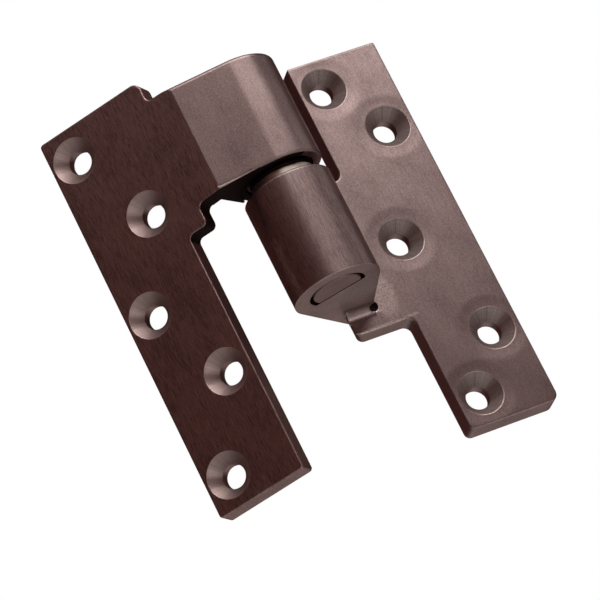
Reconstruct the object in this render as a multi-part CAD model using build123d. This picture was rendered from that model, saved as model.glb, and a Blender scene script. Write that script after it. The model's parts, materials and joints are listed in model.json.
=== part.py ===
"""Intermediate pivot for a door hung on offset pivots, with both leaves swung open.

The pin stands upright along Z. The jamb leaf lies in a plane of constant X and shows its
countersunk face towards +X. The door leaf is swung past half a turn, so its countersunk
face looks towards +X too, turned aside by DOOR_TURN. The origin is the middle screw hole
of the jamb leaf, on the leaf's back face. All lengths are in millimetres.
"""
from build123d import *
import math
import os

# Leaves
LEAF_HEIGHT = 101.6           # 4 in, the size that sets the scale of everything else
LEAF_WIDTH = 23.2
JAMB_WIDTH = 23.7             # the jamb leaf is a little the wider one
LEAF_THICK = 5.6
NEAR_EDGE = 21.5              # pin axis to a leaf's near edge, along the leaf
CORNER_R = 0.9                # rounded corners of the outline
JAMB_TOP_R = 0.5              # the jamb leaf's corners are sharper at the top and worn round below
JAMB_NEAR_FOOT_R = 1.5
JAMB_FAR_FOOT_R = 2.2
EDGE_R = 0.4                  # broken edges round the screw face
BACK_EDGE = 0.25              # chamfer round the back

# Pin axis measured square to the leaves' screw faces
JAMB_STAND_OFF = 18.3
CLOSED_GAP = 3.2              # between the two screw faces when the door is shut
DOOR_TURN = 39.2              # turn of the door leaf from the jamb leaf's direction, degrees

# Countersunk screw holes, the same screw in all ten
HOLE_R = 2.9
SINK_R = 5.55
SINK_ANGLE = 82.0
NEAR_COLUMN = 6.4             # near edge to the first column of holes
COLUMN_PITCH = 10.4
END_MARGIN = 7.94             # 5/16 in, from a leaf's end to its end holes
JAMB_PAIR_PITCH = 28.575      # 1-1/8 in, from the middle height to the jamb leaf's paired holes

# Knuckles
KNUCKLE_R = 10.8
KNUCKLE_HEIGHT = 27.6
KNUCKLE_GAP = 1.0             # between the lower race and the upper knuckle's bottom face
KNUCKLE_CROWN_R = 1.0         # rounding of the upper knuckle's top edge
KNUCKLE_EDGE = 0.4            # chamfer on the edges beside the bearing

# Jamb leaf's extension and the web that carries the lower knuckle
EXTENSION_HEIGHT = 38.8
EXTENSION_END = 6.2           # pin axis to the extension's free end, along the leaf
EXTENSION_DRAFT = 2.2         # how far its end face leans back over the leaf's thickness
EXTENSION_CORNER_R = 1.5
WEB_BACK = 2.0                # extension's end to the web's near side, at the leaf's back
WEB_ROOT = 7.3                # extension's end to the web's far side, at its front face
WEB_FILLET_R = 2.6
INNER_CORNER_R = 2.0
ROOT_PIT_R = 1.5              # casting hollow at the foot of the web's far side
ROOT_PIT_RISE = 0.7           # its middle out from the extension's front face

# Door leaf's shoulder and the arm, as thick as the leaf, that carries the upper knuckle
SHOULDER_REACH = 5.4          # how far the shoulder stands out past the leaf's near edge
SHOULDER_RISE = 5.8           # the leaf's top end over the arm and the upper knuckle
SHOULDER_BOTTOM = 11.2        # its lower edge over the lower knuckle's middle
ARM_FLAT = 14.3               # the arm's front face, from its bend to where it meets the knuckle
SHOULDER_TOP_R = 2.2          # the leaf's top corner over the arm
SHOULDER_FOOT_R = 1.4
ARM_ROOT_R = 1.5              # inner corners between the arm and the shoulder
ARM_BACK = 12.3               # pin axis to the end of the arm's straight back, along the leaf
ARM_DROP = 0.9                # how far the arm's lower edge falls from the knuckle to the shoulder

# Pin: a foot with a D-shaped end fills the lower knuckle, and the stem turns in the bush
PIN_FOOT_R = 6.8
PIN_STEM_R = 4.75
PIN_BEVEL = 1.0
FLAT_OFFSET = 1.9             # pin axis to the flat of the D-shaped end
FLAT_HEIGHT = 8.0
FLAT_DIRECTION = 147.0        # the way that the flat looks, degrees from +X
END_R = 6.1                   # round of the D-shaped end
END_BEVEL = 0.25
KEYWAY_R = 7.0                # round of the end's hole
KEYWAY_GAP = 0.55             # between the flat and its side of the hole

# Bush and blind hole in the upper knuckle
BUSH_WALL = 1.6
BUSH_GAP = 0.04               # running gap between stem and bush
BUSH_BEVEL = 0.3
KNUCKLE_ROOF = 5.4            # solid bronze over the blind hole
PIN_PAST_BUSH = 1.5
PIN_RELIEF = 0.6              # free room round and above the pin's end

# Thrust bearing between the knuckles
LOWER_RACE_R = 7.8
UPPER_RACE_R = 8.4            # the race that sits in the knuckle is the wider one
RACE_STEM_GAP = 0.1           # between the races' bores and the stem
RACE_BEVEL = 0.25
LOWER_RACE_THICK = 2.6
UPPER_RACE_THICK = 1.9
COUNTERBORE_GAP = 0.1         # round the upper race
BALL_R = 0.99                 # 5/64 in balls
BALL_COUNT = 14
BALL_GAP = 0.03               # between a ball and each raceway
RACE_SPACING = 1.5            # between the two races' flat faces
CAGE_THICK = 0.8
CAGE_EDGE_GAP = 0.2           # from the cage's rims to the lower race's rims
CAGE_POCKET_GAP = 0.08

# How near an edge must lie to a plane, axis or radius to count as on it
NEAR_ENOUGH = 0.01

# Places that follow from the sizes, in the pin's own frame
HALF_HEIGHT = LEAF_HEIGHT / 2
FAR_EDGE = NEAR_EDGE + LEAF_WIDTH
COLUMN_A = NEAR_EDGE + NEAR_COLUMN
COLUMN_B = COLUMN_A + COLUMN_PITCH
OUTER_PITCH = HALF_HEIGHT - END_MARGIN
DOOR_PAIR_PITCH = OUTER_PITCH / 2
DOOR_STAND_OFF = JAMB_STAND_OFF - CLOSED_GAP
UPPER_KNUCKLE_TOP = HALF_HEIGHT - SHOULDER_RISE
UPPER_KNUCKLE_BOTTOM = UPPER_KNUCKLE_TOP - KNUCKLE_HEIGHT
LOWER_RACE_TOP = UPPER_KNUCKLE_BOTTOM - KNUCKLE_GAP
LOWER_KNUCKLE_TOP = LOWER_RACE_TOP - LOWER_RACE_THICK
LOWER_KNUCKLE_BOTTOM = LOWER_KNUCKLE_TOP - KNUCKLE_HEIGHT
LOWER_KNUCKLE_MIDDLE = (LOWER_KNUCKLE_TOP + LOWER_KNUCKLE_BOTTOM) / 2
EXTENSION_TOP = LOWER_KNUCKLE_MIDDLE + EXTENSION_HEIGHT / 2
EXTENSION_BOTTOM = LOWER_KNUCKLE_MIDDLE - EXTENSION_HEIGHT / 2
FLAT_TOP = LOWER_KNUCKLE_BOTTOM + FLAT_HEIGHT
UPPER_RACE_BOTTOM = LOWER_RACE_TOP + RACE_SPACING
UPPER_RACE_TOP = UPPER_RACE_BOTTOM + UPPER_RACE_THICK
PIN_TOP = UPPER_KNUCKLE_TOP - KNUCKLE_ROOF - PIN_RELIEF
BUSH_TOP = PIN_TOP - PIN_PAST_BUSH
BUSH_BORE_R = PIN_STEM_R + BUSH_GAP
BUSH_R = BUSH_BORE_R + BUSH_WALL
RACE_BORE_R = PIN_STEM_R + RACE_STEM_GAP
BALL_CIRCLE_R = (LOWER_RACE_R + RACE_BORE_R) / 2
BALL_Z = (LOWER_RACE_TOP + UPPER_RACE_BOTTOM) / 2
AXIS_X = JAMB_STAND_OFF + LEAF_THICK
AXIS_Y = -COLUMN_A


def plan_prism(points, bottom, top):
    """A prism on a polygon given in plan, from one height to another."""
    outline = make_face(Polyline(*points, close=True))
    return extrude(Pos(0, 0, bottom) * outline, amount=top - bottom)


def cylinder_between(radius, bottom, top):
    return Pos(0, 0, bottom) * Cylinder(radius, top - bottom, align=(Align.CENTER, Align.CENTER, Align.MIN))


def ring_between(outer, inner, bottom, top):
    return cylinder_between(outer, bottom, top) - cylinder_between(inner, bottom, top)


def plate(points, back_x, thickness, corner_radii):
    """A plate on a Y-Z outline, standing on the plane x = back_x, with rounded corners."""
    outline = make_face(Polyline(*points, close=True))
    for vertex_point, radius in zip(points, corner_radii):
        if radius:
            target = Vector(*vertex_point)
            corner = outline.vertices().sort_by_distance(target)[0]
            outline = fillet(corner, radius)
    return extrude(Plane.YZ.offset(back_x) * outline, amount=thickness)


def screw_hole(front_x, y, z):
    """The cutter of one countersunk hole that opens towards +X."""
    sink_depth = (SINK_R - HOLE_R) / math.tan(math.radians(SINK_ANGLE / 2))
    past_back = 2 * LEAF_THICK
    profile = make_face(Polyline(
        (0, 0), (SINK_R, 0), (HOLE_R, -sink_depth), (HOLE_R, -past_back), (0, -past_back), close=True))
    cutter = revolve(Plane.XZ * profile, axis=Axis.Z)
    return Pos(front_x, y, z) * Rot(0, 90, 0) * cutter


def tangent_point(outside, side):
    """Where the tangent from a point outside the knuckle touches it, in plan."""
    distance = math.hypot(*outside)
    angle = math.atan2(outside[1], outside[0]) + side * math.acos(KNUCKLE_R / distance)
    return (KNUCKLE_R * math.cos(angle), KNUCKLE_R * math.sin(angle))


def d_section(radius, flat):
    """The foot's section: a circle cut off by one flat."""
    disc = Circle(radius)
    cut = Pos(flat + radius, 0) * Rectangle(2 * radius, 4 * radius)
    return Rot(0, 0, FLAT_DIRECTION) * (disc - cut)


def on_plane_x(shape, x):
    """The edges that lie in the plane of one X value."""
    return shape.edges().filter_by_position(Axis.X, x - NEAR_ENOUGH, x + NEAR_ENOUGH)


def rim_edges(shape, radius, z):
    """The round edges about the pin axis that lie at one height."""
    found = []
    for edge in shape.edges().filter_by(GeomType.CIRCLE):
        centre = edge.arc_center
        misses = (math.hypot(centre.X, centre.Y), centre.Z - z, edge.radius - radius)
        if all(abs(miss) < NEAR_ENOUGH for miss in misses):
            found.append(edge)
    return found


def make_web(front_x, back_x):
    """The web from extension to lower knuckle, with roots that flare up and down on the extension.

    Both sides run tangent to the knuckle. The near side passes the extension's end and stops at the back.
    """
    near = (back_x, EXTENSION_END + WEB_BACK)
    far = (front_x, EXTENSION_END + WEB_ROOT)
    plan = [tangent_point(near, 1), near, (back_x, far[1]), far, tangent_point(far, -1)]
    root_x = front_x - EDGE_R
    flare_mid = WEB_FILLET_R * (1 - math.sqrt(0.5))
    side_view = []
    roots = []
    for side, level in ((1, LOWER_KNUCKLE_TOP), (-1, LOWER_KNUCKLE_BOTTOM)):
        root = (root_x, level + side * WEB_FILLET_R)
        foot = (front_x, level + side * WEB_FILLET_R)
        middle = (front_x + flare_mid, level + side * flare_mid)
        shelf = (front_x + WEB_FILLET_R, level)
        side_view += [Line(root, foot), ThreePointArc(foot, middle, shelf), Line(shelf, (0, level))]
        roots.append(root)
    side_view.append(Line((0, LOWER_KNUCKLE_BOTTOM), (0, LOWER_KNUCKLE_TOP)))
    side_view.append(Line(*roots))
    flare = extrude(Plane.XZ.offset(-EXTENSION_END) * make_face(side_view), amount=-2 * WEB_ROOT)
    flare = flare & plan_prism(plan, roots[1][1], roots[0][1])
    return plan_prism(plan, LOWER_KNUCKLE_BOTTOM, LOWER_KNUCKLE_TOP) + flare


def make_jamb_leaf():
    """Leaf, extension, web and lower knuckle: one casting with the pin's stepped hole."""
    back_x = -AXIS_X
    front_x = -JAMB_STAND_OFF
    far_y = NEAR_EDGE + JAMB_WIDTH
    outline = [
        (NEAR_EDGE, HALF_HEIGHT), (far_y, HALF_HEIGHT), (far_y, -HALF_HEIGHT),
        (NEAR_EDGE, -HALF_HEIGHT), (NEAR_EDGE, EXTENSION_BOTTOM), (EXTENSION_END, EXTENSION_BOTTOM),
        (EXTENSION_END, EXTENSION_TOP), (NEAR_EDGE, EXTENSION_TOP)]
    radii = [
        JAMB_TOP_R, JAMB_TOP_R, JAMB_FAR_FOOT_R, JAMB_NEAR_FOOT_R,
        INNER_CORNER_R, 0, 0, INNER_CORNER_R]
    leaf = plate(outline, back_x, LEAF_THICK, radii)
    past_end = EXTENSION_END - LEAF_THICK
    leaf -= plan_prism(
        [(front_x, EXTENSION_END), (front_x, past_end), (back_x, past_end),
         (back_x, EXTENSION_END + EXTENSION_DRAFT)], EXTENSION_BOTTOM, EXTENSION_TOP)
    for z in (EXTENSION_BOTTOM, EXTENSION_TOP):
        end_middle = Vector((front_x + back_x) / 2, EXTENSION_END + EXTENSION_DRAFT / 2, z)
        leaf = fillet(leaf.edges().sort_by_distance(end_middle)[0], EXTENSION_CORNER_R)
    leaf = fillet(on_plane_x(leaf, front_x), EDGE_R)
    leaf = chamfer(on_plane_x(leaf, back_x), BACK_EDGE)

    knuckle = cylinder_between(KNUCKLE_R, LOWER_KNUCKLE_BOTTOM, LOWER_KNUCKLE_TOP)
    knuckle = chamfer(rim_edges(knuckle, KNUCKLE_R, LOWER_KNUCKLE_TOP), KNUCKLE_EDGE)
    body = leaf + (knuckle + make_web(front_x, back_x))
    pit = (front_x + ROOT_PIT_RISE, EXTENSION_END + WEB_ROOT, LOWER_KNUCKLE_BOTTOM)
    body -= Pos(*pit) * Sphere(ROOT_PIT_R)

    for z in (-OUTER_PITCH, 0, OUTER_PITCH):
        body -= screw_hole(front_x, COLUMN_A, z)
    for z in (-JAMB_PAIR_PITCH, JAMB_PAIR_PITCH):
        body -= screw_hole(front_x, COLUMN_B, z)

    body -= cylinder_between(PIN_FOOT_R, FLAT_TOP, LOWER_KNUCKLE_TOP)
    key_hole = d_section(KEYWAY_R, FLAT_OFFSET + KEYWAY_GAP)
    body -= extrude(Pos(0, 0, LOWER_KNUCKLE_BOTTOM) * key_hole, amount=FLAT_HEIGHT)
    return body


def arm_bottom(y):
    """Height of the arm's lower edge, which falls from the pin axis towards the shoulder."""
    return UPPER_KNUCKLE_BOTTOM + ARM_DROP * y / (NEAR_EDGE - SHOULDER_REACH)


def make_door_leaf():
    """Leaf, shoulder, arm and upper knuckle: one casting, with the blind hole for bush and pin."""
    front_x = DOOR_STAND_OFF
    back_x = front_x - LEAF_THICK
    shoulder_y = -NEAR_EDGE + SHOULDER_REACH
    shoulder_bottom = LOWER_KNUCKLE_MIDDLE + SHOULDER_BOTTOM
    reach = math.hypot(ARM_FLAT, KNUCKLE_R)
    crease = (front_x, -math.sqrt(reach ** 2 - front_x ** 2))
    outline = [
        (-FAR_EDGE, HALF_HEIGHT), (shoulder_y, HALF_HEIGHT), (shoulder_y, UPPER_KNUCKLE_TOP),
        (crease[1], UPPER_KNUCKLE_TOP), (crease[1], arm_bottom(crease[1])), (shoulder_y, arm_bottom(shoulder_y)),
        (shoulder_y, shoulder_bottom), (-NEAR_EDGE, shoulder_bottom),
        (-NEAR_EDGE, -HALF_HEIGHT), (-FAR_EDGE, -HALF_HEIGHT)]
    radii = [
        CORNER_R, SHOULDER_TOP_R, ARM_ROOT_R, 0, 0, ARM_ROOT_R, SHOULDER_FOOT_R, SHOULDER_FOOT_R,
        CORNER_R, CORNER_R]
    leaf = plate(outline, back_x, LEAF_THICK, radii)
    leaf = fillet(on_plane_x(leaf, front_x), EDGE_R)
    leaf = chamfer(on_plane_x(leaf, back_x), BACK_EDGE)

    bend = math.acos(KNUCKLE_R / reach) - math.atan2(-crease[1], front_x)
    along = (-math.sin(bend), math.cos(bend))
    touch = (crease[0] + ARM_FLAT * along[0], crease[1] + ARM_FLAT * along[1])
    back_end = (back_x, -ARM_BACK)
    root_y = shoulder_y + ARM_ROOT_R
    plan = [(front_x, root_y), crease, touch, (0, 0), tangent_point(back_end, -1), back_end, (back_x, root_y)]
    arm = plan_prism(plan, UPPER_KNUCKLE_BOTTOM, UPPER_KNUCKLE_TOP)
    knuckle = cylinder_between(KNUCKLE_R, UPPER_KNUCKLE_BOTTOM, UPPER_KNUCKLE_TOP)
    body = leaf + (arm + knuckle)
    body = fillet(rim_edges(body, KNUCKLE_R, UPPER_KNUCKLE_TOP), KNUCKLE_CROWN_R)
    body = chamfer(rim_edges(body, KNUCKLE_R, UPPER_KNUCKLE_BOTTOM), KNUCKLE_EDGE)
    wedge = make_face(Polyline(
        (root_y, UPPER_KNUCKLE_BOTTOM), (0, UPPER_KNUCKLE_BOTTOM), (root_y, arm_bottom(root_y)), close=True))
    drop = extrude(Plane.YZ * wedge, amount=front_x)
    drop &= plan_prism(plan, UPPER_KNUCKLE_BOTTOM - ARM_DROP, UPPER_KNUCKLE_BOTTOM)
    body += drop - cylinder_between(
        KNUCKLE_R - KNUCKLE_EDGE, UPPER_KNUCKLE_BOTTOM - ARM_DROP, UPPER_KNUCKLE_BOTTOM)

    for z in (-OUTER_PITCH, 0, OUTER_PITCH):
        body -= screw_hole(front_x, -COLUMN_B, z)
    for z in (-DOOR_PAIR_PITCH, DOOR_PAIR_PITCH):
        body -= screw_hole(front_x, -COLUMN_A, z)

    body -= cylinder_between(UPPER_RACE_R + COUNTERBORE_GAP, UPPER_KNUCKLE_BOTTOM, UPPER_RACE_TOP)
    body -= cylinder_between(BUSH_R, UPPER_RACE_TOP, BUSH_TOP)
    body -= cylinder_between(PIN_STEM_R + PIN_RELIEF, BUSH_TOP, PIN_TOP + PIN_RELIEF)
    return Rot(0, 0, -DOOR_TURN) * body


def make_pivot_pin():
    """Turned pin: a foot that fills the lower knuckle, with a D-shaped end, and a thinner stem."""
    foot = cylinder_between(PIN_FOOT_R, FLAT_TOP, LOWER_KNUCKLE_TOP)
    end = extrude(Pos(0, 0, LOWER_KNUCKLE_BOTTOM) * d_section(END_R, FLAT_OFFSET), amount=FLAT_HEIGHT)
    end = chamfer(rim_edges(end, END_R, LOWER_KNUCKLE_BOTTOM), END_BEVEL)
    stem = cylinder_between(PIN_STEM_R, LOWER_KNUCKLE_TOP, PIN_TOP)
    stem = chamfer(rim_edges(stem, PIN_STEM_R, PIN_TOP), PIN_BEVEL)
    return foot + end + stem


def make_bush():
    """Plain bush pressed into the upper knuckle."""
    sleeve = ring_between(BUSH_R, BUSH_BORE_R, UPPER_RACE_TOP, BUSH_TOP)
    mouths = rim_edges(sleeve, BUSH_BORE_R, UPPER_RACE_TOP) + rim_edges(sleeve, BUSH_BORE_R, BUSH_TOP)
    return chamfer(mouths, BUSH_BEVEL)


def raceway():
    """The ring that cuts a ball groove, about the balls' circle."""
    section = Plane.XZ * (Pos(BALL_CIRCLE_R, BALL_Z) * Circle(BALL_R + BALL_GAP))
    return revolve(section, axis=Axis.Z)


def make_race(radius, bottom, top):
    """Grooved thrust race with broken outer edges."""
    ring = ring_between(radius, RACE_BORE_R, bottom, top)
    ring = chamfer(rim_edges(ring, radius, bottom) + rim_edges(ring, radius, top), RACE_BEVEL)
    return ring - raceway()


def ball_angle(index):
    return 360 * index / BALL_COUNT


def make_cage():
    """Flat ring between the races with a round pocket for each ball."""
    bottom = BALL_Z - CAGE_THICK / 2
    top = BALL_Z + CAGE_THICK / 2
    ring = ring_between(LOWER_RACE_R - CAGE_EDGE_GAP, RACE_BORE_R + CAGE_EDGE_GAP, bottom, top)
    pocket = cylinder_between(BALL_R + CAGE_POCKET_GAP, bottom, top)
    for index in range(BALL_COUNT):
        ring -= Rot(0, 0, ball_angle(index)) * (Pos(BALL_CIRCLE_R, 0, 0) * pocket)
    return ring


def make_ball(index):
    return Rot(0, 0, ball_angle(index)) * (Pos(BALL_CIRCLE_R, 0, BALL_Z) * Sphere(BALL_R))


def main():
    nodes = {
        "jamb_leaf": make_jamb_leaf(),
        "door_leaf": make_door_leaf(),
        "pivot_pin": make_pivot_pin(),
        "bush": make_bush(),
        "lower_race": make_race(LOWER_RACE_R, LOWER_KNUCKLE_TOP, LOWER_RACE_TOP),
        "upper_race": make_race(UPPER_RACE_R, UPPER_RACE_BOTTOM, UPPER_RACE_TOP),
        "ball_cage": make_cage(),
    }
    for index in range(BALL_COUNT):
        nodes[f"ball_{index + 1:02d}"] = make_ball(index)

    os.makedirs("parts", exist_ok=True)
    to_origin = Pos(AXIS_X, AXIS_Y, 0)
    for name, solid in nodes.items():
        placed = to_origin * solid
        placed.label = name
        export_step(placed, f"parts/{name}.step")


main()
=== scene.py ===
"""Intermediate pivot in dark statuary bronze, both leaves swung open and seen from below the pin.

The CAD frame gives the shapes, the pin and the screw holes. Both castings are dressed copies of their
CAD nodes, and the pin, bush and bearing are the CAD nodes themselves in better finishes. Lengths are in
metres, in the frame's own axes: +X looks out of the jamb leaf's screw face, and +Z runs up the pin.
"""

import json
import math

import bmesh
import bpy
from mathutils import Matrix, Vector


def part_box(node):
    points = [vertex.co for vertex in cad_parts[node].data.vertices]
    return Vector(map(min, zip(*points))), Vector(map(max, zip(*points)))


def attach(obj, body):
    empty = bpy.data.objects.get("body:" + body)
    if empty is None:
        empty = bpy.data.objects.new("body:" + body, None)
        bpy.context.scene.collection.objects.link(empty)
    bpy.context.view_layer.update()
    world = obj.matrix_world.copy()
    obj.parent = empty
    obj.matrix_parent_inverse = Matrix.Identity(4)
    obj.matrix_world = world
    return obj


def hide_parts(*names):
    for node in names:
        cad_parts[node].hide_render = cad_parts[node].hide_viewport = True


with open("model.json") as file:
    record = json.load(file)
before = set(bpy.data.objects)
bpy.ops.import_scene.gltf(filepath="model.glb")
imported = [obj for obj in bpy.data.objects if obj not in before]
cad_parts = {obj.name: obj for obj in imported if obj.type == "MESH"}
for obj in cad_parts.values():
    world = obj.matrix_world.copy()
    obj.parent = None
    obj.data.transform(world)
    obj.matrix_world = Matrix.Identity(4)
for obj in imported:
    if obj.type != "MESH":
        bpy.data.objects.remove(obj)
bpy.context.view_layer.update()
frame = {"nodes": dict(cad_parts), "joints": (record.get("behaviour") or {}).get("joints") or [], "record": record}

MM = 0.001

# The photograph's viewing angle: a long lens below the part, rolled so that the pin leans to the left
CAMERA_PLACE = Vector((0.8742, -0.3790, -0.3397))
CAMERA_AIM = Vector((0.01709, -0.03466, -0.01065))
CAMERA_ROLL = math.radians(-26.76)
LENS = 255.46
SENSOR = 36.0

# What the frame says of the pivot
MOUNTS = {mount["name"]: mount for mount in frame["record"]["mounts"]}
PIN = Vector(frame["joints"][0]["pos_m"])
JAMB_FRONT = -Vector(MOUNTS["jamb_back"]["axis"])
DOOR_FRONT = -Vector(MOUNTS["door_back"]["axis"])
UP = Vector((0, 0, 1))
KNUCKLE_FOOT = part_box("pivot_pin")[0].z
KNUCKLE_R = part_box("jamb_leaf")[1].x - PIN.x  # the jamb leaf reaches farthest out at its knuckle
LOWER_RACE_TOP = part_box("lower_race")[1].z
UPPER_RACE_LOW, UPPER_RACE_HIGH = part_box("upper_race")

# Countersinks, and the shallow dish that the polisher's mop left round each
SINK_R = 5.55 * MM
DISH_R = 9.0 * MM
CONE_STEEP, CONE_FLAT = 0.3, 0.9  # cosines between which a cone's faces lean from the screw face
FLATTEN = 1e4  # a stretch along a hole's axis that makes depth count for nothing
FAR_OFF = 1.0  # farther than any hole

# Places of the castings that each have a finish of their own, some painted dark as shade, with a little room round
# them
FOOT_HOLE_R = 7.05 * MM  # the hole for the pin's D-shaped end
FOOT_HOLE_TOP = KNUCKLE_FOOT + 8.1 * MM
PIT = Vector((6.3, -14.4, -13.8)) * MM  # the casting hollow at the web's foot, painted as a dark spot of shade
PIT_R = 1.6 * MM
# The counterbore and the arm's underside over the bearing are painted dark as shade
COUNTERBORE_R = (UPPER_RACE_HIGH.x - UPPER_RACE_LOW.x) / 2 + 0.2 * MM
COUNTERBORE_TOP = UPPER_RACE_HIGH.z + 0.1 * MM
ARM_BOTTOM = LOWER_RACE_TOP - 0.2 * MM
DARK_REACH = 4 * MM  # how far past the pin the underside is painted dark as shade, before the rim keeps the arm's bronze
NOTCH_BOTTOM, NOTCH_TOP = 8 * MM, 17 * MM  # heights of the notch under the door leaf's shoulder, whose sides are painted dark as shade
ARM_START = -10.1 * MM  # the arm's bend, along the door leaf from the pin
SIDE_START = -8 * MM  # just short of the jamb leaf's near side
BARREL_R = KNUCKLE_R + 0.05 * MM
WEB_START = 6.5 * MM  # just out from the jamb leaf's screw face
LOOKS_ALONG, LOOKS_ACROSS = 0.9, 0.5  # cosines over which a face looks one way, and under which across it

# Patches of the jamb casting painted pale, as worn edges with a painted highlight on the fillets and bottom edges:
# middle and reach in mm, and strength
WEAR_AND_HIGHLIGHT_PLACES = (
    ((5.6, -11.0, -11.5), (4.0, 4.2, 8.0), 0.6),
    ((5.6, -14.5, -19.2), (0.8, 9.5, 0.7), 1.0),
    ((5.6, -6.6, -18.9), (0.6, 2.6, 0.5), 0.7),
    ((5.7, -13.6, -15.2), (0.8, 1.9, 0.45), 1.0),
)
PALE_CORE = 0.5  # share of a patch's reach in which it is pale in full

# Marks in the bronze: their size through a leaf, across it and along it
LINE_SIZE = Vector((0.14, 0.14, 2.6)) * MM
BAND_SIZE = Vector((0.5, 0.5, 4.0)) * MM
PATCH_SIZE = Vector((7, 7, 10)) * MM
SPECK_SIZE = Vector((0.3, 0.3, 0.34)) * MM
LINE_SHARE, BAND_SHARE, PATCH_SHARE = 0.75, 0.25, 0.9

# Where wear and painted highlights start and where they are full: in the cosine of an edge's rounding, and in two
# patterns
EDGE_START, EDGE_FULL = 0.99, 0.82
PATCH_START, PATCH_FULL = 0.3, 0.65
SPECK_START, SPECK_FULL = 0.4, 0.6
LEAST_WEAR_AND_SHEEN = 0.3

# How far the dull and the bright places of a metal lie from its roughness
CAST_SPREAD, TURNED_SPREAD = 0.03, 0.06

# The countersink cutter's marks, those round the cone in parts of its normal's length
RING_PITCH = 0.2 * MM
CHATTER_WIDTH = 0.06  # about 5 degrees round the cone
SECTOR_WIDTH = 0.5  # about 40 degrees round the cone
WHOLE_CONE = 9  # so wide that nothing changes from the cone's rim to its foot

# How the castings' meshes are merged and smoothed
WELD = 0.5e-6
SHARP_ANGLE = math.radians(18)
LARGE_FACES_LEAD = 100  # a corner's normal follows its larger faces

# Sockets of a Mix node that mixes two colours
FACTOR, COLOUR_A, COLOUR_B, MIXED = 0, 6, 7, 2


def colour(written):
    """Linear RGBA of an sRGB hex value such as "8a6f69"."""
    channels = [int(written[at:at + 2], 16) / 255 for at in (0, 2, 4)]
    linear = [c / 12.92 if c <= 0.04045 else ((c + 0.055) / 1.055) ** 2.4 for c in channels]
    return (*linear, 1.0)


def feed(tree, node, inputs):
    """Sets a node's inputs, each to a value or to the socket that feeds it."""
    for name, value in inputs.items():
        if isinstance(value, bpy.types.NodeSocket):
            tree.links.new(value, node.inputs[name])
        else:
            node.inputs[name].default_value = value


def add(tree, kind, inputs, out=0, **settings):
    """Adds a node with its settings and links, and gives one of its outputs."""
    made = tree.nodes.new(kind)
    for name, value in settings.items():
        setattr(made, name, value)
    feed(tree, made, inputs)
    return made.outputs[out]


def new_material(name):
    """A material with its tree, its Principled shader and the piece's own coordinates."""
    material = bpy.data.materials.new(name)
    material.use_nodes = True
    tree = material.node_tree
    return material, tree, tree.nodes["Principled BSDF"], add(tree, "ShaderNodeTexCoord", {}, "Object")


def heading(front):
    """The turn about +Z that brings +X to the way that a screw face looks."""
    return math.atan2(front.y, front.x)


def hole_centres():
    """The screw holes' places on the two backs, with the way that each leaf's screw face looks."""
    jamb_near, jamb_far = MOUNTS["jamb_screws_near"], MOUNTS["jamb_screws_far"]
    door_far, door_near = MOUNTS["door_screws_far"], MOUNTS["door_screws_near"]
    columns = (
        (jamb_near, JAMB_FRONT, jamb_near["dims"]["spacing_y_mm"], (-1, 0, 1)),
        (jamb_far, JAMB_FRONT, jamb_far["dims"]["spacing_y_mm"], (-1, 1)),
        (door_far, DOOR_FRONT, door_far["dims"]["pcd_mm"], (-1, 0, 1)),
        (door_near, DOOR_FRONT, door_near["dims"]["pcd_mm"], (-1, 1)),
    )
    for mount, front, pitch, steps in columns:
        for step in steps:
            yield Vector(mount["pos_m"]) + UP * (step * pitch / 2 * MM), front


def hole_distance(tree, here, leaf_front):
    """How far a point of one leaf lies from the axis of the nearest screw hole."""
    turn = heading(leaf_front)
    nearest = FAR_OFF
    for hole, front in hole_centres():
        if front is leaf_front:
            flat = add(
                tree, "ShaderNodeMapping",
                {"Vector": here, "Location": hole, "Rotation": (0, 0, turn), "Scale": (FLATTEN, 1, 1)},
                vector_type="TEXTURE")
            aside = add(tree, "ShaderNodeVectorMath", {0: flat}, "Value", operation="LENGTH")
            nearest = add(tree, "ShaderNodeMath", {0: aside, 1: nearest}, operation="MINIMUM")
    return nearest


def mottle(tree, source, size, detail=2, place=0.0, turn=0.0):
    """A pattern of soft spots of a given size. Place shifts it, so that it matches no other pattern."""
    spread = add(
        tree, "ShaderNodeMapping",
        {"Vector": source, "Location": (place, place, 0), "Rotation": (0, 0, turn), "Scale": size},
        vector_type="TEXTURE")
    return add(tree, "ShaderNodeTexNoise", {"Vector": spread, "Scale": 1.0, "Detail": detail})


def mixed_tone(tree, patterns):
    """Patterns added up by their shares, so that the mean is about one half."""
    tone = 0.5 - sum(share for _, share in patterns) / 2
    for pattern, share in patterns:
        tone = add(tree, "ShaderNodeMath", {0: pattern, 1: share, 2: tone}, operation="MULTIPLY_ADD")
    return tone


def worn_edges(tree, radius):
    """The rounded normal at sharp edges, and a mask that is 1 on the edges themselves."""
    rounded = add(tree, "ShaderNodeBevel", {"Radius": radius}, samples=6)
    flat = add(tree, "ShaderNodeNewGeometry", {}, "Normal")
    match = add(tree, "ShaderNodeVectorMath", {0: rounded, 1: flat}, "Value", operation="DOT_PRODUCT")
    mask = add(tree, "ShaderNodeMapRange", {"Value": match, "From Min": EDGE_START, "From Max": EDGE_FULL})
    return rounded, mask


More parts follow.
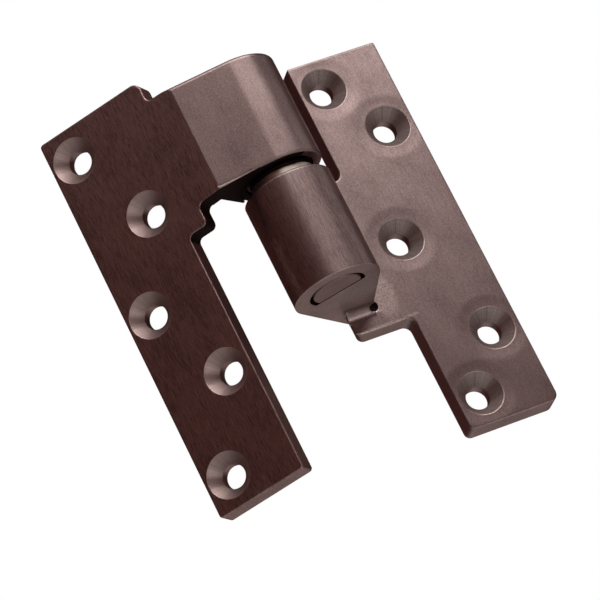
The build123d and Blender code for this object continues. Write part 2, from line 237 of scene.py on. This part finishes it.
def wear_and_highlight_places(tree, here, specks):
    """A mask of the jamb casting's pale places, worn edges with a painted highlight, broken up by the casting's
    grain.
    """
    mask = 0.0
    for middle, reach, strength in WEAR_AND_HIGHLIGHT_PLACES:
        near = add(
            tree, "ShaderNodeMapping",
            {"Vector": here, "Location": Vector(middle) * MM, "Scale": Vector(reach) * MM},
            vector_type="TEXTURE")
        near = add(tree, "ShaderNodeVectorMath", {0: near}, "Value", operation="LENGTH")
        near = add(
            tree, "ShaderNodeMapRange",
            {"Value": near, "From Min": 1.0, "From Max": PALE_CORE, "To Max": strength},
            interpolation_type="SMOOTHSTEP")
        mask = add(tree, "ShaderNodeMath", {0: near, 1: mask}, operation="MAXIMUM")
    grain = add(
        tree, "ShaderNodeMapRange",
        {"Value": specks, "From Min": SPECK_START, "From Max": SPECK_FULL, "To Min": LEAST_WEAR_AND_SHEEN})
    return add(tree, "ShaderNodeMath", {0: mask, 1: grain}, operation="MULTIPLY")


def mopped_dish(tree, here, front, depth, normal):
    """A normal that follows the shallow dish round each countersink."""
    distance = hole_distance(tree, here, front)
    bowl = add(
        tree, "ShaderNodeMapRange", {"Value": distance, "From Min": SINK_R, "From Max": DISH_R},
        interpolation_type="SMOOTHSTEP")
    return add(tree, "ShaderNodeBump", {"Strength": 1.0, "Distance": depth, "Height": bowl, "Normal": normal})


def finish_metal(tree, shader, tone, shades, wear_and_sheen, relief, rough, spread):
    """Bare metal, duller where its tone is dark, brighter where it is light, and paler on worn edges and painted
    highlights.
    """
    dark, light, wear_and_sheen_shade = shades
    body = add(
        tree, "ShaderNodeMix", {FACTOR: tone, COLOUR_A: colour(dark), COLOUR_B: colour(light)}, MIXED,
        data_type="RGBA")
    skin = add(
        tree, "ShaderNodeMix", {FACTOR: wear_and_sheen, COLOUR_A: body, COLOUR_B: colour(wear_and_sheen_shade)}, MIXED,
        data_type="RGBA")
    sheen = add(
        tree, "ShaderNodeMapRange", {"Value": tone, "To Min": rough + spread, "To Max": rough - spread})
    feed(tree, shader, {"Base Color": skin, "Metallic": 1.0, "Roughness": sheen, "Normal": relief})


def statuary_bronze(name, front, shades, streak, grain, rough, dish=0.0, wear=0.5 * MM):
    """Cast bronze, linished, darkened with a brown patina and oiled.

    It gives a satin brown with soft patches and fine grain, streaks where the belt ran along the leaf,
    and paler metal on worn edges, with pale patches on the jamb that are painted highlights. Grain and
    streaks are drawn a little coarser than they are, so that they show. Streak and grain say how strong
    the two are, dish how deep the mop went round the holes, and wear how wide the worn edges are.
    """
    material, tree, shader, here = new_material(name)
    turn = heading(front)
    lines = mottle(tree, here, LINE_SIZE, place=0.1, turn=turn)
    bands = mottle(tree, here, BAND_SIZE, place=0.2, turn=turn)
    patches = mottle(tree, here, PATCH_SIZE, detail=3, place=0.3, turn=turn)
    specks = mottle(tree, here, SPECK_SIZE, detail=3, place=0.4, turn=turn)
    tone = mixed_tone(tree, (
        (lines, LINE_SHARE * streak), (bands, BAND_SHARE * streak), (patches, PATCH_SHARE), (specks, grain)))
    rounded, edge = worn_edges(tree, wear)
    wear_and_sheen = add(
        tree, "ShaderNodeMapRange",
        {"Value": patches, "From Min": PATCH_START, "From Max": PATCH_FULL, "To Min": LEAST_WEAR_AND_SHEEN})
    wear_and_sheen = add(tree, "ShaderNodeMath", {0: edge, 1: wear_and_sheen}, operation="MULTIPLY")
    # On the jamb, pale patches are also painted where highlights fall on the fillets and bottom edges
    if front is JAMB_FRONT:
        places = wear_and_highlight_places(tree, here, specks)
        wear_and_sheen = add(tree, "ShaderNodeMath", {0: wear_and_sheen, 1: places}, operation="MAXIMUM")
    dished = mopped_dish(tree, here, front, dish, rounded)
    relief = add(tree, "ShaderNodeMath", {0: specks, 1: grain, 2: lines}, operation="MULTIPLY_ADD")
    relief = add(
        tree, "ShaderNodeBump", {"Strength": 0.4, "Distance": 0.02 * MM, "Height": relief, "Normal": dished})
    finish_metal(tree, shader, tone, shades, wear_and_sheen, relief, rough, CAST_SPREAD)
    return material


def turned_bronze(name, front, shades):
    """The countersinks: cut after casting, then browned, so the cutter's fine rings and chatter show."""
    material, tree, shader, here = new_material(name)
    turn = heading(front)
    facing = add(tree, "ShaderNodeTexCoord", {}, "Normal")
    distance = hole_distance(tree, here, front)
    rings = add(tree, "ShaderNodeMath", {0: distance, 1: 1 / RING_PITCH}, operation="MULTIPLY")
    rings = add(tree, "ShaderNodeTexNoise", {"W": rings, "Scale": 1.0, "Detail": 2}, noise_dimensions="1D")
    chatter = mottle(tree, facing, (WHOLE_CONE, CHATTER_WIDTH, CHATTER_WIDTH), place=5.0, turn=turn)
    sectors = mottle(tree, facing, (WHOLE_CONE, SECTOR_WIDTH, SECTOR_WIDTH), place=2.0, turn=turn)
    specks = mottle(tree, here, Vector((0.4, 0.4, 0.4)) * MM, place=0.4, turn=turn)
    tone = mixed_tone(tree, ((rings, 0.5), (chatter, 1.1), (sectors, 0.8), (specks, 0.4)))
    rounded, edge = worn_edges(tree, radius=0.35 * MM)
    relief = add(
        tree, "ShaderNodeBump", {"Strength": 0.5, "Distance": 0.02 * MM, "Height": tone, "Normal": rounded})
    finish_metal(tree, shader, tone, shades, edge, relief, rough=0.49, spread=0.09)
    return material


def painted_shade_bronze(name, dark, light):
    """Painted shade: a dull, uneven black-brown put on pits, bores and undersides, where shade falls."""
    material, tree, shader, here = new_material(name)
    crust = mottle(tree, here, Vector((0.6, 0.6, 0.6)) * MM, detail=3)
    skin = add(
        tree, "ShaderNodeMix", {FACTOR: crust, COLOUR_A: colour(dark), COLOUR_B: colour(light)}, MIXED,
        data_type="RGBA")
    relief = add(tree, "ShaderNodeBump", {"Strength": 0.6, "Distance": 0.04 * MM, "Height": crust})
    feed(tree, shader, {"Base Color": skin, "Roughness": 0.8, "Specular IOR Level": 0.1, "Normal": relief})
    return material


def turned_metal(name, shades, rough, ring):
    """A turned or ground ring or pin. It gives fine rings about the pin, and paler broken edges."""
    material, tree, shader, here = new_material(name)
    rings = mottle(tree, here, Vector((6, 6, ring)) * MM)
    specks = mottle(tree, here, Vector((0.5, 0.5, 0.5)) * MM)
    tone = mixed_tone(tree, ((rings, 0.7), (specks, 0.3)))
    rounded, edge = worn_edges(tree, radius=0.2 * MM)
    relief = add(
        tree, "ShaderNodeBump", {"Strength": 0.2, "Distance": 0.005 * MM, "Height": tone, "Normal": rounded})
    finish_metal(tree, shader, tone, shades, edge, relief, rough, TURNED_SPREAD)
    return material


def is_cone(face):
    """True for a face on a countersink's cone."""
    centre = face.calc_center_median()
    for hole, front in hole_centres():
        offset = centre - hole
        aside = (offset - front * offset.dot(front)).length
        if aside < SINK_R and CONE_STEEP < face.normal.dot(front) < CONE_FLAT:
            return True
    return False


def jamb_finish(face):
    """The finish that a face of the jamb casting has."""
    centre = face.calc_center_median()
    from_pin = (centre - PIN).xy.length
    upright = abs(face.normal.z) < LOOKS_ACROSS
    in_foot_hole = upright and from_pin < FOOT_HOLE_R and centre.z < FOOT_HOLE_TOP
    on_near_side = face.normal.y < -LOOKS_ALONG and centre.y > SIDE_START and centre.z < 0
    if is_cone(face):
        return "turned"
    # Painted shade on the foot hole's walls and on the spot at the web's foot
    if in_foot_hole or (centre - PIT).length < PIT_R:
        return "painted_shade"
    # Painted reflection: the near side below the extension is made paler, for the bright space that it mirrors
    if on_near_side:
        return "wear_and_sheen"
    if upright and (from_pin < BARREL_R or centre.x > WEB_START):
        return "brushed"
    return "satin"


def door_finish(face):
    """The finish that a face of the door casting has."""
    centre = face.calc_center_median()
    in_counterbore = (centre - PIN).xy.length < COUNTERBORE_R and centre.z < COUNTERBORE_TOP
    in_notch = NOTCH_BOTTOM < centre.z < NOTCH_TOP and abs(face.normal.dot(DOOR_FRONT)) < LOOKS_ACROSS
    looks_down = face.normal.z < -LOOKS_ALONG and ARM_BOTTOM < centre.z < COUNTERBORE_TOP
    if is_cone(face):
        return "turned"
    # Painted shade in the counterbore, on the notch's sides and under the arm near the pin
    if in_counterbore or in_notch or (looks_down and centre.y < PIN.y + DARK_REACH):
        return "painted_shade"
    if (centre - PIN).dot(UP.cross(DOOR_FRONT)) > ARM_START:
        return "satin"
    return "brushed"


def dressed(node, name, body, finish, materials):
    """A merged copy of a CAD casting, smooth but for its sharp edges, with a finish for each face."""
    shape = bmesh.new()
    shape.from_mesh(frame["nodes"][node].data)
    bmesh.ops.remove_doubles(shape, verts=shape.verts, dist=WELD)
    finishes = list(materials)
    for face in shape.faces:
        face.smooth = True
        face.material_index = finishes.index(finish(face))
    for edge in shape.edges:
        edge.smooth = len(edge.link_faces) == 2 and edge.calc_face_angle() < SHARP_ANGLE
    mesh = bpy.data.meshes.new(name)
    shape.to_mesh(mesh)
    shape.free()
    for material in materials.values():
        mesh.materials.append(material)
    piece = bpy.data.objects.new(name, mesh)
    bpy.context.scene.collection.objects.link(piece)
    weighted = piece.modifiers.new("flat_faces_stay_flat", "WEIGHTED_NORMAL")
    weighted.keep_sharp = True
    weighted.weight = LARGE_FACES_LEAD
    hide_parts(node)
    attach(piece, body)


def finish_node(node, material):
    """Gives a CAD node that stays its own finish."""
    shown = frame["nodes"][node]
    shown.data.materials.clear()
    shown.data.materials.append(material)


def make_castings():
    """Both castings. Each of their finishes has three shades: dark, light, and a pale one for worn edges and
    painted highlights.
    """
    browns = ("6f5d5b", "a28e8a", "cdb8b2")
    leaf_browns = ("69524f", "a88d88", "8c736f")
    # Paler shades, for the door's countersinks and, as a painted reflection, for the jamb's near side
    wear_and_sheen = ("9b8581", "b8a29d", "d2beb8")
    cut_browns = ("80706d", "b9a8a3", "d2c0ba")
    # Painted shade: near black on the bores, the notch's sides, a spot at the web's foot and the arm's underside
    painted_shade = painted_shade_bronze("painted_shade_on_bronze", "0f0302", "1c0a08")
    dressed("jamb_leaf", "jamb_casting", "jamb", jamb_finish, {
        "satin": statuary_bronze(
            "statuary_bronze_jamb", JAMB_FRONT, browns, streak=1.0, grain=1.5, rough=0.37, dish=0.1 * MM),
        "turned": turned_bronze("turned_bronze_jamb", JAMB_FRONT, cut_browns),
        "painted_shade": painted_shade,
        # Painted reflection: the near side in paler bronze
        "wear_and_sheen": statuary_bronze(
            "statuary_bronze_sides", JAMB_FRONT, wear_and_sheen, streak=0.6, grain=1.7, rough=0.4),
        "brushed": statuary_bronze(
            "statuary_bronze_barrel", JAMB_FRONT, browns, streak=3.0, grain=1.3, rough=0.37),
    })
    dressed("door_leaf", "door_casting", "door", door_finish, {
        "brushed": statuary_bronze(
            "statuary_bronze_door", DOOR_FRONT, leaf_browns, streak=3.3, grain=1.0, rough=0.4,
            dish=0.03 * MM, wear=0.3 * MM),
        "turned": turned_bronze("turned_bronze_door", DOOR_FRONT, wear_and_sheen),
        "painted_shade": painted_shade,
        "satin": statuary_bronze(
            "statuary_bronze_arm", DOOR_FRONT, browns, streak=0.8, grain=1.6, rough=0.35),
    })


def make_bearing():
    """Finishes for the pin, bush, races and balls, which stay as the CAD has them."""
    # Steel pin, turned and then browned with the castings, so that it hardly stands out from them
    browned = turned_metal("browned_steel", ("6a5552", "8d7571", "b39c96"), rough=0.4, ring=0.2)
    # Sintered bronze bush, full of oil: warm and a little dull
    oiled = turned_metal("oil_filled_bronze", ("8a6a45", "b48f5f", "cdb083"), rough=0.4, ring=0.2)
    # Ground steel race, left bright: the one pale ring on the pivot
    ground = turned_metal("ground_steel", ("c4baac", "dfd6c8", "f0e9de"), rough=0.36, ring=0.6)
    # Hardened steel, painted nearly black as the shade inside the bearing, with a soft shine
    bearing_shade = turned_metal("painted_shade_steel", ("1b1412", "352925", "4a3b35"), rough=0.42, ring=0.3)
    finish_node("pivot_pin", browned)
    finish_node("bush", oiled)
    finish_node("lower_race", ground)
    for node in frame["nodes"]:
        if node == "upper_race" or node.startswith("ball_"):
            finish_node(node, bearing_shade)


def make_camera():
    """A long lens at the photograph's viewing angle."""
    data = bpy.data.cameras.new("camera")
    data.lens = LENS
    data.sensor_width = SENSOR
    data.clip_start, data.clip_end = 0.05, 50.0
    camera = bpy.data.objects.new("camera", data)
    bpy.context.scene.collection.objects.link(camera)
    look = (CAMERA_AIM - CAMERA_PLACE).to_track_quat("-Z", "Y").to_matrix().to_4x4()
    camera.matrix_world = Matrix.Translation(CAMERA_PLACE) @ look @ Matrix.Rotation(CAMERA_ROLL, 4, "Z")
    bpy.context.scene.camera = camera


def softbox(name, azimuth, elevation, distance, width, height, watts, tint="ffffff"):
    """A soft lamp that looks at the part from one side."""
    around, rise = math.radians(azimuth), math.radians(elevation)
    away = Vector((math.cos(around) * math.cos(rise), math.sin(around) * math.cos(rise), math.sin(rise)))
    data = bpy.data.lights.new(name, "AREA")
    data.shape = "RECTANGLE"
    data.size, data.size_y = width, height
    data.energy = watts
    data.color = colour(tint)[:3]
    lamp = bpy.data.objects.new(name, data)
    bpy.context.scene.collection.objects.link(lamp)
    turn = away.to_track_quat("Z", "Y").to_matrix().to_4x4()
    lamp.matrix_world = Matrix.Translation(CAMERA_AIM + away * distance) @ turn


def make_lamps():
    """The key over the screw faces, cards right, below and behind, and a weak fill from the door's side."""
    softbox("key", azimuth=22, elevation=50, distance=0.55, width=0.56, height=0.42, watts=2.75)
    softbox("right_card", azimuth=80, elevation=15, distance=0.8, width=0.5, height=0.4, watts=0.3)
    softbox("low_card", azimuth=25, elevation=-35, distance=0.6, width=0.3, height=0.2, watts=0.36)
    softbox(
        "back_card", azimuth=157, elevation=-22, distance=0.9, width=0.6, height=0.4, watts=0.15,
        tint="ffdad4")
    softbox("side_fill", azimuth=-60, elevation=58, distance=0.32, width=0.2, height=0.2, watts=0.045)


def make_tent(radius, shade, lit_shade, lit_azimuth):
    """The dim studio that the metal mirrors between the lamps, lighter towards one side.

    It is brown cloth that only gloss sees: the camera, the shadows and plain surfaces pass it by.
    """
    shape = bmesh.new()
    bmesh.ops.create_uvsphere(shape, u_segments=48, v_segments=24, radius=radius)
    mesh = bpy.data.meshes.new("tent")
    shape.to_mesh(mesh)
    shape.free()
    material = bpy.data.materials.new("dim_cloth")
    material.use_nodes = True
    tree = material.node_tree
    here = add(tree, "ShaderNodeTexCoord", {}, "Object")
    around = math.radians(lit_azimuth)
    lit_side = (math.cos(around) / radius, math.sin(around) / radius, 0)
    lit = add(tree, "ShaderNodeVectorMath", {0: here, 1: lit_side}, "Value", operation="DOT_PRODUCT")
    lit = add(
        tree, "ShaderNodeMapRange", {"Value": lit, "From Min": -0.2, "From Max": 1.0},
        interpolation_type="SMOOTHSTEP")
    cloth = add(
        tree, "ShaderNodeMix", {FACTOR: lit, COLOUR_A: colour(shade), COLOUR_B: colour(lit_shade)}, MIXED,
        data_type="RGBA")
    glow = add(tree, "ShaderNodeEmission", {"Color": cloth, "Strength": 1.0})
    feed(tree, tree.nodes["Material Output"], {"Surface": glow})
    mesh.materials.append(material)
    tent = bpy.data.objects.new("tent", mesh)
    bpy.context.scene.collection.objects.link(tent)
    tent.visible_camera = False
    tent.visible_diffuse = False
    tent.visible_transmission = False
    tent.visible_shadow = False


def make_floor(height, size, lift):
    """A pale board with a faint mottle, far enough down for a camera to look up at the part from below.

    Its lift towards white is for the camera alone and lights nothing.
    """
    shape = bmesh.new()
    bmesh.ops.create_grid(shape, x_segments=1, y_segments=1, size=size)
    bmesh.ops.translate(shape, verts=shape.verts, vec=(0, 0, height))
    mesh = bpy.data.meshes.new("floor")
    shape.to_mesh(mesh)
    shape.free()
    material, tree, shader, here = new_material("pale_board")
    spots = mottle(tree, here, Vector((60, 60, 60)) * MM)
    tone = add(
        tree, "ShaderNodeMix", {FACTOR: spots, COLOUR_A: colour("ececea"), COLOUR_B: colour("f4f4f2")}, MIXED,
        data_type="RGBA")
    seen = add(tree, "ShaderNodeLightPath", {}, "Is Camera Ray")
    glow = add(tree, "ShaderNodeMath", {0: seen, 1: lift}, operation="MULTIPLY")
    feed(tree, shader, {
        "Base Color": tone, "Roughness": 0.85, "Emission Color": colour("f4f4f2"), "Emission Strength": glow})
    mesh.materials.append(material)
    floor = bpy.data.objects.new("floor", mesh)
    bpy.context.scene.collection.objects.link(floor)


def make_world():
    """White to the camera, to gloss and through glass, and a soft fill to all else."""
    world = bpy.data.worlds.new("studio")
    world.use_nodes = True
    bpy.context.scene.world = world
    tree = world.node_tree
    seen = 0.0
    for ray in ("Is Camera Ray", "Is Glossy Ray", "Is Transmission Ray"):
        hit = add(tree, "ShaderNodeLightPath", {}, ray)
        seen = add(tree, "ShaderNodeMath", {0: hit, 1: seen}, operation="MAXIMUM")
    shade = add(
        tree, "ShaderNodeMix", {FACTOR: seen, COLOUR_A: colour("bcbcbc"), COLOUR_B: colour("ffffff")}, MIXED,
        data_type="RGBA")
    feed(tree, tree.nodes["Background"], {"Color": shade, "Strength": 1.0})


make_castings()
make_bearing()
make_camera()
make_world()
make_tent(radius=3.0, shade="4a2b29", lit_shade="5f3b38", lit_azimuth=-45)
make_floor(height=-1.15, size=12.0, lift=0.42)
make_lamps()
bpy.context.scene.view_settings.view_transform = "Standard"
